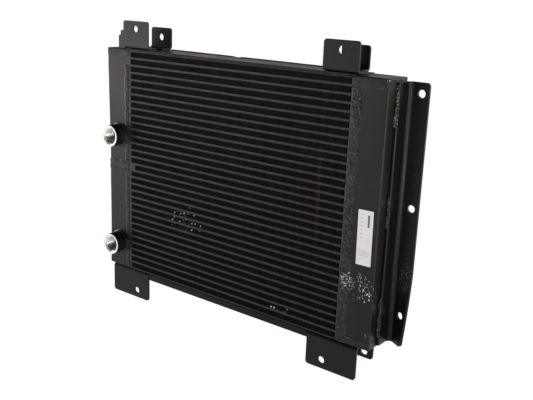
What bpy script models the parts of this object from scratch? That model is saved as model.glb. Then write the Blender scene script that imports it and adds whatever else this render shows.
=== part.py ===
"""Bar-and-plate hydraulic oil cooler, two pass, with welded tanks and bent mounting brackets.

The model is laid out in core coordinates: X runs along the core from the left tank to the right
tank, Y runs from the front face to the back, and Z runs up from the underside of the core.
One empty carries every part and moves the whole object so that the centre of the bottom of its
bounding box is the world origin.
"""
import math

import bmesh
import bpy
from mathutils import Matrix, Vector

MM = 0.001
GAP = 0.3 * MM                       # clearance between neighbouring parts

TINY = 0.001 * MM                    # two numbers closer than this are the same
OVERRUN = 5.0 * MM                   # how far a cutter runs past what it cuts

# Core: oil passages stacked with rows of air fin
AIR_ROWS = 32
PASSAGES = AIR_ROWS - 1
ROW_PITCH = 15.0 * MM
PASSAGE_HEIGHT = 4.2 * MM            # long bar with its two parting sheets
SHEET = 0.8 * MM
LONG_BAR_DEPTH = 8.0 * MM
CORE_WIDTH = 542.0 * MM              # between the short end bars
CORE_DEPTH = 62.0 * MM
SHORT_BAR = 6.5 * MM
TOP_PLATE = 6.2 * MM                 # end sheet with its cover plate
BOTTOM_PLATE = 4.0 * MM
REAR_STRIP = (4.0 * MM, 2.1 * MM)    # depth, and height above the top plate
FIN_SETBACK = 1.2 * MM
DIVIDER_ROW = 17                     # counted from the top
DIVIDER_BAR = 18.0 * MM              # wide end bar in the divider's row

# Tanks
TANK_WALL = 5.0 * MM
TANK_CORNER = 3.5 * MM
TANK_INNER_CORNER = 1.0 * MM
CAP = 12.0 * MM
CAP_EDGE = 2.0 * MM
CAP_CORNER = 3.3 * MM
CAP_PROUD = 0.7 * MM                  # caps stand out this far past the shells
TANK_TOP_Z = 482.6 * MM
TANK_BOTTOM_Z = -1.9 * MM
LEFT_TANK_X = -70.0 * MM
RIGHT_TANK_X = 613.3 * MM
BAFFLE = 10.0 * MM
BAFFLE_Z = 230.3 * MM
BAFFLE_PROUD = 2.5 * MM

# Ports
PORT_X = -37.0 * MM
PORT_LENGTH = 28.5 * MM
PORT_R = 23.3 * MM
PORT_BORE_R = 15.5 * MM
PORT_MOUTH_R = 19.0 * MM
PORT_MOUTH_DEPTH = 3.4 * MM
PORT_EDGE = 1.0 * MM
UPPER_PORT_Z = 298.0 * MM
LOWER_PORT_Z = 54.0 * MM

# Brackets
BRACKET_PLATE = 4.0 * MM
BEND_R = 8.0 * MM                    # outer bend radius
BRACKET_CORNER = 6.0 * MM
BOLT_R = 7.0 * MM
FRONT_FOOT = 27.0 * MM
REAR_FOOT = 31.0 * MM

# Side mounting angle
ANGLE_THICKNESS = 5.0 * MM
ANGLE_BEND_R = 9.0 * MM              # inside bend radius
ANGLE_FRONT_Y = 26.5 * MM
ANGLE_LEG_Y = 60.0 * MM              # front face of the leg that stands out
ANGLE_OUTER_X = 656.0 * MM
ANGLE_BOTTOM_Z = 1.5 * MM
ANGLE_TOP_Z = 476.0 * MM
ANGLE_HOLE_X = 642.0 * MM
ANGLE_HOLES_Z = (57.0 * MM, 257.0 * MM, 457.0 * MM)
ANGLE_KNOCK_Z = 135.0 * MM           # the leg is knocked forward below this height
ANGLE_KNOCK = math.radians(30.5)
ANGLE_KNOCK_CUTS = 9

# Rail under the core, between the front brackets
RAIL_LEFT = 53.6 * MM
RAIL_RIGHT = 479.9 * MM
RAIL_FRONT_Y = 1.0 * MM
RAIL_BACK_Y = 20.0 * MM
RAIL_BOTTOM_Z = -16.8 * MM

# Stepped backing plate behind the top left front bracket
BACKING_LEFT = -40.5 * MM
BACKING_STEP = -34.5 * MM
BACKING_RIGHT = 0.0
BACKING_LOW_TOP = 511.0 * MM
BACKING_HIGH_TOP = 521.0 * MM
BACKING_CORNER = 3.0 * MM

# Data label
LABEL_SIZE = (30.0 * MM, 0.4 * MM, 100.0 * MM)
LABEL_X = 589.2 * MM
LABEL_Z = 206.0 * MM
LABEL_TILT = math.radians(-0.9)

HOLE_SEGMENTS = 24
ROUND_SEGMENTS = 40

HALF_PASSAGE = PASSAGE_HEIGHT / 2
TOP_INNER = AIR_ROWS * ROW_PITCH - HALF_PASSAGE
TOP_Z = TOP_INNER + TOP_PLATE
BOTTOM_Z = HALF_PASSAGE - BOTTOM_PLATE
BLOCK_LEFT = -SHORT_BAR
BLOCK_RIGHT = CORE_WIDTH + SHORT_BAR

# name: (left x, right x, free edge z, hole x, hole z)
FRONT_BRACKETS = {
    "front_top_left_bracket": (-21.0 * MM, 51.7 * MM, 541.6 * MM, 15.0 * MM, 525.5 * MM),
    "front_top_right_bracket": (480.8 * MM, 553.2 * MM, 538.8 * MM, 517.4 * MM, 522.1 * MM),
    "front_bottom_left_bracket": (-58.4 * MM, 53.2 * MM, -66.8 * MM, 16.8 * MM, -50.3 * MM),
    "front_bottom_right_bracket": (480.5 * MM, 590.3 * MM, -68.6 * MM, 515.7 * MM, -51.7 * MM),
}
REAR_BRACKETS = {
    "rear_top_left_bracket": (3.0 * MM, 60.4 * MM, 529.0 * MM, 31.5 * MM, 509.4 * MM),
    "rear_top_right_bracket": (481.0 * MM, 539.0 * MM, 529.2 * MM, 510.0 * MM, 509.3 * MM),
    "rear_bottom_left_bracket": (-50.0 * MM, -12.5 * MM, -48.3 * MM, -31.3 * MM, -36.1 * MM),
    "rear_bottom_right_bracket": (554.5 * MM, 592.0 * MM, -48.3 * MM, 573.3 * MM, -36.1 * MM),
}
LOWEST_Z = FRONT_BRACKETS["front_bottom_right_bracket"][2]

# Colours
PAINT = (0.03, 0.03, 0.03)
BAR_PAINT = (0.06, 0.06, 0.06)
FIN_PAINT = (0.012, 0.012, 0.012)
BARE_METAL = (0.75, 0.75, 0.74)
LABEL_WHITE = (0.85, 0.85, 0.83)

# World frame: centre of the bottom of the bounding box
X_MIN = LEFT_TANK_X - BAFFLE_PROUD
X_MAX = ANGLE_OUTER_X
Y_MIN = -PORT_LENGTH
Y_MAX = ANGLE_LEG_Y + ANGLE_THICKNESS
FRAME_SHIFT = Vector((-(X_MIN + X_MAX) / 2, -(Y_MIN + Y_MAX) / 2, -LOWEST_Z))


# ---------------------------------------------------------------- scene helpers

def clear_scene():
    for obj in list(bpy.data.objects):
        bpy.data.objects.remove(obj, do_unlink=True)


def make_material(name, color, roughness, metallic):
    material = bpy.data.materials.new(name)
    material.use_nodes = True
    shader = material.node_tree.nodes["Principled BSDF"]
    shader.inputs["Base Color"].default_value = (*color, 1.0)
    shader.inputs["Roughness"].default_value = roughness
    shader.inputs["Metallic"].default_value = metallic
    return material


def make_frame_empty():
    empty = bpy.data.objects.new("cooler_frame", None)
    empty.location = FRAME_SHIFT
    bpy.context.collection.objects.link(empty)
    return empty


def add_object(name, mesh, color, roughness=0.5, metallic=0.0):
    obj = bpy.data.objects.new(name, mesh)
    obj.data.materials.append(make_material(name + "_material", color, roughness, metallic))
    obj.parent = bpy.data.objects["cooler_frame"]
    bpy.context.collection.objects.link(obj)
    return obj


def smooth_rounds(obj, degrees=35.0):
    obj.data.shade_smooth()
    obj.data.set_sharp_from_angle(angle=math.radians(degrees))


def mesh_from_bmesh(name, bm):
    bmesh.ops.recalc_face_normals(bm, faces=bm.faces)
    mesh = bpy.data.meshes.new(name)
    bm.to_mesh(mesh)
    bm.free()
    return mesh


# ---------------------------------------------------------------- shape helpers

def arc(center, radius, start, end, steps):
    points = []
    for i in range(steps + 1):
        angle = math.radians(start + (end - start) * i / steps)
        points.append((center[0] + radius * math.cos(angle), center[1] + radius * math.sin(angle)))
    return points


def circle(center, radius, steps):
    return arc(center, radius, 0.0, 360.0, steps)[:-1]


def rounded_outline(lo, hi, radii, steps=4):
    """A rectangle with the corner radii (low low, high low, high high, low high)."""
    corners = (
        (lo[0], lo[1], 1, 1, 180.0),
        (hi[0], lo[1], -1, 1, 270.0),
        (hi[0], hi[1], -1, -1, 0.0),
        (lo[0], hi[1], 1, -1, 90.0),
    )
    points = []
    for (x, y, side_x, side_y, start), radius in zip(corners, radii):
        if radius > 0.0:
            center = (x + side_x * radius, y + side_y * radius)
            points.extend(arc(center, radius, start, start + 90.0, steps))
        else:
            points.append((x, y))
    return points


def place(point, depth, axis):
    """Turn a point of an outline into 3-D, with depth along the extrusion axis."""
    u, v = point
    if axis == "X":
        return Vector((depth, u, v))
    if axis == "Y":
        return Vector((u, depth, v))
    return Vector((u, v, depth))


def extrude_outline(bm, outline, axis, start, end):
    near = [bm.verts.new(place(point, start, axis)) for point in outline]
    far = [bm.verts.new(place(point, end, axis)) for point in outline]
    bm.faces.new(near)
    bm.faces.new(list(reversed(far)))
    count = len(outline)
    for i in range(count):
        j = (i + 1) % count
        bm.faces.new((near[j], near[i], far[i], far[j]))


def prism(name, outline, axis, start, end):
    bm = bmesh.new()
    extrude_outline(bm, outline, axis, start, end)
    return mesh_from_bmesh(name, bm)


def add_box(bm, lo, hi):
    outline = rounded_outline(lo[:2], hi[:2], (0.0, 0.0, 0.0, 0.0))
    extrude_outline(bm, outline, "Z", lo[2], hi[2])


def box(name, lo, hi):
    bm = bmesh.new()
    add_box(bm, lo, hi)
    return mesh_from_bmesh(name, bm)


def cut(obj, mesh):
    """Take a closed mesh out of an object."""
    cutter = bpy.data.objects.new(obj.name + "_cutter", mesh)
    cutter.parent = obj.parent
    cutter.hide_render = True
    cutter.display_type = "WIRE"
    bpy.context.collection.objects.link(cutter)
    modifier = obj.modifiers.new("cut", "BOOLEAN")
    modifier.operation = "DIFFERENCE"
    modifier.solver = "EXACT"
    modifier.object = cutter


def cut_hole(obj, axis, center, radius, start, end):
    cut(obj, prism("hole", circle(center, radius, HOLE_SEGMENTS), axis, start, end))


# ---------------------------------------------------------------- core

def passage_center_z(number):
    """Passages are numbered from the top, starting at 1."""
    return (AIR_ROWS - number) * ROW_PITCH


def row_span(number):
    """Low and high z of an air row, rows numbered from the top, starting at 1."""
    low = (AIR_ROWS - number) * ROW_PITCH + HALF_PASSAGE
    high = (AIR_ROWS - number + 1) * ROW_PITCH - HALF_PASSAGE
    return low, high


def make_side_plates():
    for name, low, high in (
        ("core_top_plate", TOP_INNER, TOP_Z),
        ("core_bottom_plate", BOTTOM_Z, HALF_PASSAGE),
    ):
        mesh = box(name, (BLOCK_LEFT, 0.0, low), (BLOCK_RIGHT, CORE_DEPTH, high))
        add_object(name, mesh, PAINT, 0.45)


def make_rear_strip():
    """The low strip along the top plate's rear edge, between the rear brackets."""
    depth, height = REAR_STRIP
    left = REAR_BRACKETS["rear_top_left_bracket"][1] + 2.0 * GAP
    right = REAR_BRACKETS["rear_top_right_bracket"][0] - 2.0 * GAP
    mesh = box("core_top_rear_strip",
               (left, CORE_DEPTH - depth, TOP_Z + GAP), (right, CORE_DEPTH, TOP_Z + height))
    add_object("core_top_rear_strip", mesh, PAINT, 0.45)


def make_passage_block(name, first, last, low, high, windows):
    """A brazed stack of oil passages, joined at both ends by the short bars of its air rows."""
    block = box(name, (BLOCK_LEFT, 0.0, low), (BLOCK_RIGHT, CORE_DEPTH, high))
    obj = add_object(name, block, BAR_PAINT, 0.4)
    openings = bmesh.new()
    for left, right, bottom, top in windows:
        add_box(openings, (left, -OVERRUN, bottom), (right, CORE_DEPTH + OVERRUN, top))
    cut(obj, mesh_from_bmesh("air_openings", openings))
    slots = bmesh.new()
    slot_half = HALF_PASSAGE - SHEET
    for number in range(first, last + 1):
        z = passage_center_z(number)
        add_box(slots,
                (BLOCK_LEFT - OVERRUN, LONG_BAR_DEPTH, z - slot_half),
                (BLOCK_RIGHT + OVERRUN, CORE_DEPTH - LONG_BAR_DEPTH, z + slot_half))
    cut(obj, mesh_from_bmesh("oil_slots", slots))


def make_passages():
    """The upper pass ends above the divider's row; the lower pass owns that row's right end bar."""
    last_upper = DIVIDER_ROW - 1
    upper_rows = [row_span(number) for number in range(1, DIVIDER_ROW)]
    lower_rows = [row_span(number) for number in range(DIVIDER_ROW + 1, AIR_ROWS + 1)]
    upper_windows = [(0.0, CORE_WIDTH, low, high) for low, high in upper_rows]
    top_low, top_high = upper_rows[0]
    upper_windows[0] = (0.0, CORE_WIDTH, top_low, top_high + OVERRUN)
    low = passage_center_z(last_upper) - HALF_PASSAGE
    make_passage_block("upper_pass_passages", 1, last_upper, low, TOP_INNER - GAP, upper_windows)

    lower_windows = [(0.0, CORE_WIDTH, low, high) for low, high in lower_rows]
    bottom_low, bottom_high = lower_rows[-1]
    lower_windows[-1] = (0.0, CORE_WIDTH, bottom_low - OVERRUN, bottom_high)
    divider_low, divider_high = row_span(DIVIDER_ROW)
    lower_windows.append((BLOCK_LEFT - OVERRUN, CORE_WIDTH, divider_low, divider_high + OVERRUN))
    make_passage_block("lower_pass_passages", DIVIDER_ROW, PASSAGES,
                       HALF_PASSAGE + GAP, divider_high - GAP, lower_windows)


def make_pass_divider_bar():
    low, high = row_span(DIVIDER_ROW)
    mesh = box("pass_divider_bar",
               (BLOCK_LEFT, 0.0, low + GAP),
               (BLOCK_LEFT + DIVIDER_BAR, CORE_DEPTH, high - GAP))
    add_object("pass_divider_bar", mesh, BAR_PAINT, 0.4)


def make_air_fins():
    """Each row of corrugated fin as the block that it fills."""
    for number in range(1, AIR_ROWS + 1):
        low, high = row_span(number)
        left = BLOCK_LEFT + DIVIDER_BAR if number == DIVIDER_ROW else 0.0
        name = "air_fin_row_%02d" % number
        mesh = box(name,
                   (left + GAP, FIN_SETBACK, low + GAP),
                   (CORE_WIDTH - GAP, CORE_DEPTH - FIN_SETBACK, high - GAP))
        add_object(name, mesh, FIN_PAINT, 0.6)


def make_bottom_rail():
    mesh = box("core_bottom_rail",
               (RAIL_LEFT, RAIL_FRONT_Y, RAIL_BOTTOM_Z),
               (RAIL_RIGHT, RAIL_BACK_Y, BOTTOM_Z - GAP))
    add_object("core_bottom_rail", mesh, PAINT, 0.5)


# ---------------------------------------------------------------- tanks

def tank_outline(outer_x, inner_x, grow=0.0, corner=TANK_CORNER):
    """Full plan of a tank, with round corners on the side away from the core."""
    side = 1.0 if outer_x < inner_x else -1.0
    outer_x -= side * grow
    lo = (min(outer_x, inner_x), -grow)
    hi = (max(outer_x, inner_x), CORE_DEPTH + grow)
    r = corner + grow
    radii = (r, 0.0, 0.0, r) if side > 0.0 else (0.0, r, r, 0.0)
    return rounded_outline(lo, hi, radii)


def hollow_outline(outer_x, inner_x):
    """Plan of the space inside a tank, running out past its open side."""
    side = 1.0 if outer_x < inner_x else -1.0
    wall_x = outer_x + side * TANK_WALL
    open_x = inner_x + side * OVERRUN
    lo = (min(wall_x, open_x), TANK_WALL)
    hi = (max(wall_x, open_x), CORE_DEPTH - TANK_WALL)
    r = TANK_INNER_CORNER
    radii = (r, 0.0, 0.0, r) if side > 0.0 else (0.0, r, r, 0.0)
    return rounded_outline(lo, hi, radii)


def make_tank_shell(name, outer_x, inner_x, low, high, port_z=None):
    """A shell bent round three sides, open towards the core and at both ends."""
    mesh = prism(name, tank_outline(outer_x, inner_x), "Z", low, high)
    obj = add_object(name, mesh, PAINT, 0.35)
    hollow = hollow_outline(outer_x, inner_x)
    cut(obj, prism("hollow", hollow, "Z", low - OVERRUN, high + OVERRUN))
    if port_z is not None:
        cut_hole(obj, "Y", (PORT_X, port_z), PORT_BORE_R, -OVERRUN, TANK_WALL + OVERRUN)
    smooth_rounds(obj)


def make_cap(name, outer_x, inner_x, low, high, outer_z):
    """An end cap with a rounded rim on its three outer sides."""
    bm = bmesh.new()
    outline = tank_outline(outer_x, inner_x, CAP_PROUD, CAP_CORNER)
    extrude_outline(bm, outline, "Z", low, high)
    rim = [
        edge for edge in bm.edges
        if all(abs(vert.co.z - outer_z) < TINY for vert in edge.verts)
        and not all(abs(vert.co.x - inner_x) < TINY for vert in edge.verts)
    ]
    bmesh.ops.bevel(bm, geom=rim, offset=CAP_EDGE, segments=3, profile=0.5, affect="EDGES")
    obj = add_object(name, mesh_from_bmesh(name, bm), PAINT, 0.35)
    smooth_rounds(obj)


def make_left_tank():
    inner_x = BLOCK_LEFT - GAP
    baffle_low = BAFFLE_Z - BAFFLE / 2
    baffle_high = BAFFLE_Z + BAFFLE / 2
    make_tank_shell("left_tank_upper_shell", LEFT_TANK_X, inner_x,
                    baffle_high + GAP, TANK_TOP_Z - CAP - GAP, UPPER_PORT_Z)
    make_tank_shell("left_tank_lower_shell", LEFT_TANK_X, inner_x,
                    TANK_BOTTOM_Z + CAP + GAP, baffle_low - GAP, LOWER_PORT_Z)
    make_cap("left_tank_top_cap", LEFT_TANK_X, inner_x,
             TANK_TOP_Z - CAP, TANK_TOP_Z, TANK_TOP_Z)
    make_cap("left_tank_bottom_cap", LEFT_TANK_X, inner_x,
             TANK_BOTTOM_Z, TANK_BOTTOM_Z + CAP, TANK_BOTTOM_Z)
    outline = tank_outline(LEFT_TANK_X, inner_x, BAFFLE_PROUD)
    plate = prism("left_tank_divider_plate", outline, "Z", baffle_low, baffle_high)
    smooth_rounds(add_object("left_tank_divider_plate", plate, PAINT, 0.4))


def make_right_tank():
    inner_x = BLOCK_RIGHT + GAP
    make_tank_shell("right_tank_shell", RIGHT_TANK_X, inner_x,
                    TANK_BOTTOM_Z + CAP + GAP, TANK_TOP_Z - CAP - GAP)
    make_cap("right_tank_top_cap", RIGHT_TANK_X, inner_x,
             TANK_TOP_Z - CAP, TANK_TOP_Z, TANK_TOP_Z)
    make_cap("right_tank_bottom_cap", RIGHT_TANK_X, inner_x,
             TANK_BOTTOM_Z, TANK_BOTTOM_Z + CAP, TANK_BOTTOM_Z)


def make_port_boss(name, center_z):
    """A turned boss: a profile of (distance from the tank, radius) swept round the port's axis."""
    profile = (
        (GAP, PORT_R),
        (PORT_LENGTH - PORT_EDGE, PORT_R),
        (PORT_LENGTH, PORT_R - PORT_EDGE),
        (PORT_LENGTH, PORT_MOUTH_R),
        (PORT_LENGTH - PORT_MOUTH_DEPTH, PORT_BORE_R),
        (GAP, PORT_BORE_R),
    )
    bm = bmesh.new()
    rings = []
    for i in range(ROUND_SEGMENTS):
        angle = 2.0 * math.pi * i / ROUND_SEGMENTS
        ring = []
        for distance, radius in profile:
            x = PORT_X + radius * math.cos(angle)
            z = center_z + radius * math.sin(angle)
            ring.append(bm.verts.new((x, -distance, z)))
        rings.append(ring)
    for i, ring in enumerate(rings):
        following = rings[(i + 1) % ROUND_SEGMENTS]
        for j in range(len(profile)):
            k = (j + 1) % len(profile)
            bm.faces.new((ring[j], ring[k], following[k], following[j]))
    smooth_rounds(add_object(name, mesh_from_bmesh(name, bm), BARE_METAL, 0.25, 1.0))


# ---------------------------------------------------------------- brackets

def bent_profile(leg, foot):
    """Section of a bent plate: distance from its outer face, and height above its foot's sole."""
    inner_r = BEND_R - BRACKET_PLATE
    outer_bend = arc((BEND_R, BEND_R), BEND_R, 270.0, 180.0, 5)
    inner_bend = arc((BEND_R, BEND_R), inner_r, 180.0, 270.0, 5)
    return (
        [(foot, 0.0)] + outer_bend + [(0.0, leg), (BRACKET_PLATE, leg)]
        + inner_bend + [(foot, BRACKET_PLATE)]
    )


def make_bracket(name, left, right, free_z, hole, front):
    """A bent plate with its foot on the core's top or bottom and its leg flush with one face."""
    upright = free_z > 0.0
    sole_z = TOP_Z + GAP if upright else BOTTOM_Z - GAP
    up = 1.0 if upright else -1.0
    face_y = 0.0 if front else CORE_DEPTH
    inward = 1.0 if front else -1.0
    foot = FRONT_FOOT if front else REAR_FOOT
    section = [
        (face_y + inward * a, sole_z + up * b)
        for a, b in bent_profile(abs(free_z - sole_z), foot)
    ]
    bm = bmesh.new()
    extrude_outline(bm, section, "X", left, right)
    corners = [
        edge for edge in bm.edges
        if all(abs(vert.co.z - free_z) < TINY for vert in edge.verts)
        and abs(edge.verts[0].co.x - edge.verts[1].co.x) < TINY
    ]
    bmesh.ops.bevel(bm, geom=corners, offset=BRACKET_CORNER, segments=5, profile=0.5,
                    affect="EDGES")
    obj = add_object(name, mesh_from_bmesh(name, bm), PAINT, 0.4)
    cut_hole(obj, "Y", hole, BOLT_R, face_y - FRONT_FOOT, face_y + FRONT_FOOT)
    smooth_rounds(obj)


def make_brackets():
    for name, (left, right, free_z, hole_x, hole_z) in FRONT_BRACKETS.items():
        make_bracket(name, left, right, free_z, (hole_x, hole_z), front=True)
    for name, (left, right, free_z, hole_x, hole_z) in REAR_BRACKETS.items():
        make_bracket(name, left, right, free_z, (hole_x, hole_z), front=False)


def make_backing_plate():
    """A stepped plate behind the top left front bracket, standing on the tank's cap."""
    sole = TANK_TOP_Z + GAP
    r = BACKING_CORNER
    clear_x = FRONT_BRACKETS["front_top_left_bracket"][0] - 2.0 * GAP
    clear_z = TOP_Z + GAP + BEND_R + GAP
    outline = [(BACKING_LEFT, sole)]
    outline += arc((BACKING_LEFT + r, BACKING_LOW_TOP - r), r, 180.0, 90.0, 3)
    outline += [(BACKING_STEP, BACKING_LOW_TOP)]
    outline += arc((BACKING_STEP + r, BACKING_HIGH_TOP - r), r, 180.0, 90.0, 3)
    outline += [(BACKING_RIGHT, BACKING_HIGH_TOP), (BACKING_RIGHT, clear_z)]
    outline += [(clear_x, clear_z), (clear_x, sole)]
    front_y = BRACKET_PLATE + GAP
    mesh = prism("top_left_backing_plate", outline, "Y", front_y, front_y + BRACKET_PLATE)
    smooth_rounds(add_object("top_left_backing_plate", mesh, PAINT, 0.4))


# ---------------------------------------------------------------- side mounting angle

def angle_outline():
    left = RIGHT_TANK_X + CAP_PROUD + GAP
    inner_x = left + ANGLE_THICKNESS
    back_y = ANGLE_LEG_Y + ANGLE_THICKNESS
    outer_r = ANGLE_BEND_R + ANGLE_THICKNESS
    inside = arc((inner_x + ANGLE_BEND_R, ANGLE_LEG_Y - ANGLE_BEND_R), ANGLE_BEND_R, 180.0, 90.0, 7)
    outside = arc((left + outer_r, back_y - outer_r), outer_r, 90.0, 180.0, 8)
    return (
        [(left, ANGLE_FRONT_Y), (inner_x, ANGLE_FRONT_Y)] + inside
        + [(ANGLE_OUTER_X, ANGLE_LEG_Y), (ANGLE_OUTER_X, back_y)] + outside
    )


def apply_modifiers(obj):
    graph = bpy.context.evaluated_depsgraph_get()
    mesh = bpy.data.meshes.new_from_object(obj.evaluated_get(graph))
    for modifier in list(obj.modifiers):
        bpy.data.objects.remove(modifier.object, do_unlink=True)
    obj.modifiers.clear()
    obj.data = mesh


def knock_leg_forward(obj):
    """Turn the leg's lower end forward about the bend, more and more towards the bottom."""
    hinge = Vector((RIGHT_TANK_X + CAP_PROUD + GAP + ANGLE_THICKNESS + ANGLE_BEND_R,
                    ANGLE_LEG_Y + ANGLE_THICKNESS / 2, 0.0))
    bm = bmesh.new()
    bm.from_mesh(obj.data)
    for i in range(ANGLE_KNOCK_CUTS):
        height = ANGLE_KNOCK_Z * (1.0 - i / ANGLE_KNOCK_CUTS)
        geometry = bm.verts[:] + bm.edges[:] + bm.faces[:]
        bmesh.ops.bisect_plane(bm, geom=geometry, plane_co=(0.0, 0.0, height),
                               plane_no=(0.0, 0.0, 1.0), dist=TINY)
    bmesh.ops.triangulate(bm, faces=bm.faces)
    for vert in bm.verts:
        if vert.co.x > hinge.x + TINY and vert.co.z < ANGLE_KNOCK_Z:
            share = 1.0 - (vert.co.z - ANGLE_BOTTOM_Z) / (ANGLE_KNOCK_Z - ANGLE_BOTTOM_Z)
            turn = Matrix.Rotation(-ANGLE_KNOCK * share, 3, "Z")
            arm = vert.co - hinge
            arm.z = 0.0
            vert.co += turn @ arm - arm
    obj.data = mesh_from_bmesh(obj.name, bm)


def make_side_angle():
    name = "side_mounting_angle"
    bm = bmesh.new()
    extrude_outline(bm, angle_outline(), "Z", ANGLE_BOTTOM_Z, ANGLE_TOP_Z)
    corners = [
        edge for edge in bm.edges
        if all(abs(vert.co.x - ANGLE_OUTER_X) < TINY for vert in edge.verts)
        and abs(edge.verts[0].co.z - edge.verts[1].co.z) < TINY
    ]
    bmesh.ops.bevel(bm, geom=corners, offset=BRACKET_CORNER, segments=5, profile=0.5,
                    affect="EDGES")
    obj = add_object(name, mesh_from_bmesh(name, bm), PAINT, 0.4)
    material = obj.data.materials[0]
    for hole_z in ANGLE_HOLES_Z:
        cut_hole(obj, "Y", (ANGLE_HOLE_X, hole_z), BOLT_R,
                 ANGLE_LEG_Y - OVERRUN, ANGLE_LEG_Y + ANGLE_THICKNESS + OVERRUN)
    apply_modifiers(obj)
    knock_leg_forward(obj)
    obj.data.materials.clear()
    obj.data.materials.append(material)
    smooth_rounds(obj)


def make_label():
    half = Vector(LABEL_SIZE) / 2
    obj = add_object("data_label", box("data_label", -half, half), LABEL_WHITE, 0.4)
    obj.location = (LABEL_X, -GAP - half.y, LABEL_Z)
    obj.rotation_euler.y = LABEL_TILT


def main():
    clear_scene()
    make_frame_empty()
    make_side_plates()
    make_rear_strip()
    make_passages()
    make_pass_divider_bar()
    make_air_fins()
    make_bottom_rail()
    make_left_tank()
    make_right_tank()
    make_port_boss("upper_port_boss", UPPER_PORT_Z)
    make_port_boss("lower_port_boss", LOWER_PORT_Z)
    make_brackets()
    make_backing_plate()
    make_side_angle()
    make_label()


main()
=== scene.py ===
import math
import random

import bmesh
import bpy
from mathutils import Matrix, Vector, noise


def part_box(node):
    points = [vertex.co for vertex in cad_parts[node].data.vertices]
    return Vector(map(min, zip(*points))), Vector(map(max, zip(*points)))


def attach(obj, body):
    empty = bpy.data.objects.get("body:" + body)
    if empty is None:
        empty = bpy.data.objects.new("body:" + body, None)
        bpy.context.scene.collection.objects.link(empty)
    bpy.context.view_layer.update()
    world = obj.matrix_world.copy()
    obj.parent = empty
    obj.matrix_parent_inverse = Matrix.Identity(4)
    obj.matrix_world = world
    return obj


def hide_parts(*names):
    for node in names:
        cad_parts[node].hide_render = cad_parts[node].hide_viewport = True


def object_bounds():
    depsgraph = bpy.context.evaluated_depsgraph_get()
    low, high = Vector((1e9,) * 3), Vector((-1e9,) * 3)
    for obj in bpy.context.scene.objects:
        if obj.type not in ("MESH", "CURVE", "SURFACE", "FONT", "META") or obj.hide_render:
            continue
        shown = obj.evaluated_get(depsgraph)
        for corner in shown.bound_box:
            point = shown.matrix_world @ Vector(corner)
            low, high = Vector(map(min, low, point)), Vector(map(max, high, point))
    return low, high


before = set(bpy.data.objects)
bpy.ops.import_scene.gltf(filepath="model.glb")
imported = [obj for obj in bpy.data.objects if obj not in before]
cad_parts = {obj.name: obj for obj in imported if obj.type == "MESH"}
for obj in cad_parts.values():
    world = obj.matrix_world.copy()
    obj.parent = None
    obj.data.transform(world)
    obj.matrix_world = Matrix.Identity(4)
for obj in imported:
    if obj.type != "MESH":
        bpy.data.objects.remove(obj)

CAD_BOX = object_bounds()
noise.seed_set(1)      # noise_vector would otherwise take its seed from the clock
MM = 0.001
ROOT = "root"
FRONT = Vector((0, -1, 0))
BACK = Vector((0, 1, 0))
UP = Vector((0, 0, 1))

# ---- places, from the CAD boxes

TOP_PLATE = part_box("core_top_plate")
BOTTOM_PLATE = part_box("core_bottom_plate")
FRONT_Y = TOP_PLATE[0].y
BACK_Y = TOP_PLATE[1].y
TOP_Z = TOP_PLATE[1].z
BOTTOM_Z = BOTTOM_PLATE[0].z
CORE_LEFT = TOP_PLATE[0].x           # outer faces of the short end bars
CORE_RIGHT = TOP_PLATE[1].x
SHORT_BAR = 6.5 * MM
FINS_LEFT = CORE_LEFT + SHORT_BAR
FINS_RIGHT = CORE_RIGHT - SHORT_BAR
LEFT_TANK = (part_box("left_tank_bottom_cap")[0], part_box("left_tank_top_cap")[1])
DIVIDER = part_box("left_tank_divider_plate")
ROWS = 32
PASSAGES = ROWS - 1
DIVIDER_ROW = 17


def row_box(number):
    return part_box("air_fin_row_%02d" % number)


def passage_z(number):
    return row_box(number)[0].z - GAP - PASSAGE_HEIGHT / 2


ROW_HEIGHT = row_box(1)[1].z - row_box(1)[0].z
PASSAGE_HEIGHT = 4.2 * MM
GAP = 0.3 * MM       # between welded or brazed neighbours
ORIGIN = Vector((FINS_LEFT, FRONT_Y, passage_z(ROWS)))


def core(x, y, z):
    """A point given in millimetres from the lower left end of the fins on the front face."""
    return ORIGIN + Vector((x, y, z)) * MM


# ---- node helpers

def input_of(node, name):
    """The socket that is in use, where a node has several of one name."""
    return next(socket for socket in node.inputs if socket.name == name and socket.enabled)


def shifted(offset):
    """Where a pattern starts, so that no two noises line up."""
    return (offset, offset * 0.7, offset * 1.3)


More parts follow.
